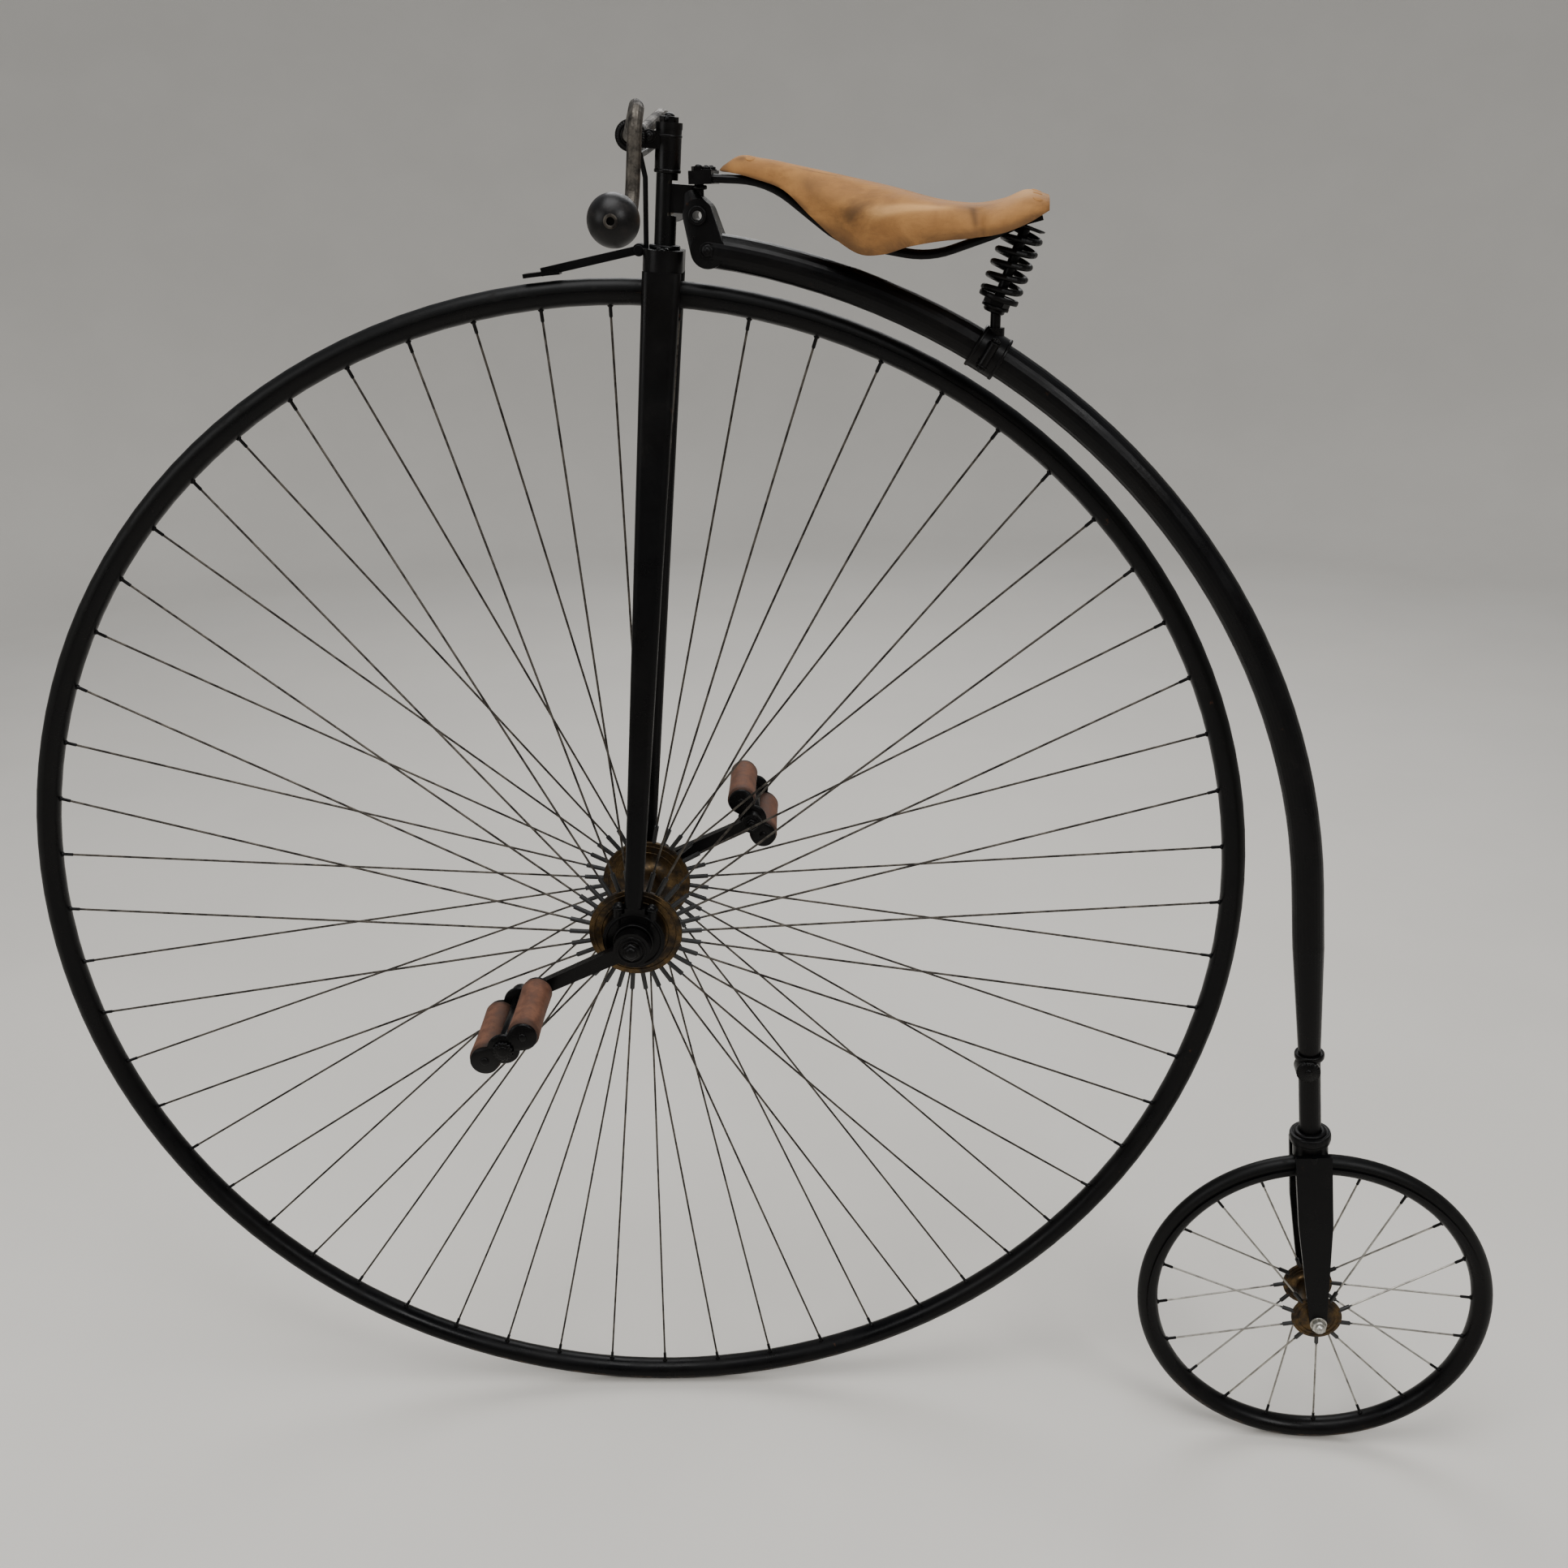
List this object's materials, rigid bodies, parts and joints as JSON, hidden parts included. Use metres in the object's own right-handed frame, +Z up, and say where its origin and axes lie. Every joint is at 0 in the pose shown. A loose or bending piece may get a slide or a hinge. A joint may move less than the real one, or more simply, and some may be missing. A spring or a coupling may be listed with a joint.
{
  "type": "high-wheel bicycle",
  "caption": "High-wheel penny farthing bicycle with a steered front wheel driven by cranks, a curved backbone and a sprung leather saddle.",
  "frame": {"origin": "the point on top of the saddle that carries the rider", "axes": "+X forward, +Y to the rider's left, +Z up"},
  "size_m": [1.6765, 0.6455, 1.5291],
  "materials": {
    "black_enamel": "gloss",
    "hub_brass": "aged",
    "tyre_rubber": "matte",
    "grip_rubber": "matte",
    "pedal_rubber": "matte",
    "bare_steel": "aged",
    "zinc_steel": "satin",
    "saddle_leather": "suede"
  },
  "bodies": {
    "frame": {"backbone": "black_enamel", "neck": "black_enamel", "steering_spindle": "bare_steel", "rear_fork": "black_enamel", "rear_axle": "zinc_steel", "mounting_step": "black_enamel", "saddle_front_post": "black_enamel", "saddle_clip": "black_enamel", "saddle_rails": "black_enamel", "saddle_cantle_plate": "black_enamel", "saddle_coil_spring": "black_enamel", "saddle_rear_post": "black_enamel", "saddle_clamp": "black_enamel", "saddle_leather": "saddle_leather"},
    "fork": {"head": "black_enamel", "head_cap": "black_enamel", "fork_crown": "black_enamel", "fork_blade_left": "black_enamel", "fork_blade_right": "black_enamel", "bearing_housing_left": "black_enamel", "bearing_housing_right": "black_enamel", "handlebar": "bare_steel", "handlebar_lug": "black_enamel", "grip_left": "grip_rubber", "grip_right": "grip_rubber", "brake_lever": "black_enamel", "brake_rod": "black_enamel", "brake_spoon": "black_enamel"},
    "front_wheel": {"front_tyre": "tyre_rubber", "front_rim": "black_enamel", "front_hub": "hub_brass", "front_axle": "bare_steel", "front_spokes_left": "bare_steel", "front_spokes_right": "bare_steel", "crank_left": "black_enamel", "crank_right": "black_enamel"},
    "pedal_left": {"pedal_plates_left": "black_enamel", "pedal_blocks_left": "pedal_rubber"},
    "pedal_right": {"pedal_plates_right": "black_enamel", "pedal_blocks_right": "pedal_rubber"},
    "rear_wheel": {"rear_tyre": "tyre_rubber", "rear_rim": "black_enamel", "rear_hub": "hub_brass", "rear_spokes": "zinc_steel"}
  },
  "joints": [
    {"name": "steering", "type": "hinge", "parent": "frame", "child": "fork", "pos_m": [0.3, 0, -0.763], "axis": [-0.0837, 0, 0.9965], "range_deg": [-42, 28]},
    {"name": "front_wheel_spin", "type": "hinge", "parent": "fork", "child": "front_wheel", "pos_m": [0.3, 0, -0.763], "axis": [-0.1214, 0.9925, -0.0102], "continuous": true},
    {"name": "pedal_left_spin", "type": "hinge", "parent": "front_wheel", "child": "pedal_left", "pos_m": [0.41046, 0.12675, -0.82255], "axis": [-0.1214, 0.9925, -0.0102], "continuous": true},
    {"name": "pedal_right_spin", "type": "hinge", "parent": "front_wheel", "child": "pedal_right", "pos_m": [0.18954, -0.12675, -0.70345], "axis": [-0.1214, 0.9925, -0.0102], "continuous": true},
    {"name": "rear_wheel_spin", "type": "hinge", "parent": "frame", "child": "rear_wheel", "pos_m": [-0.492, 0, -1.2455], "axis": [0, 1, 0], "continuous": true}
  ]
}
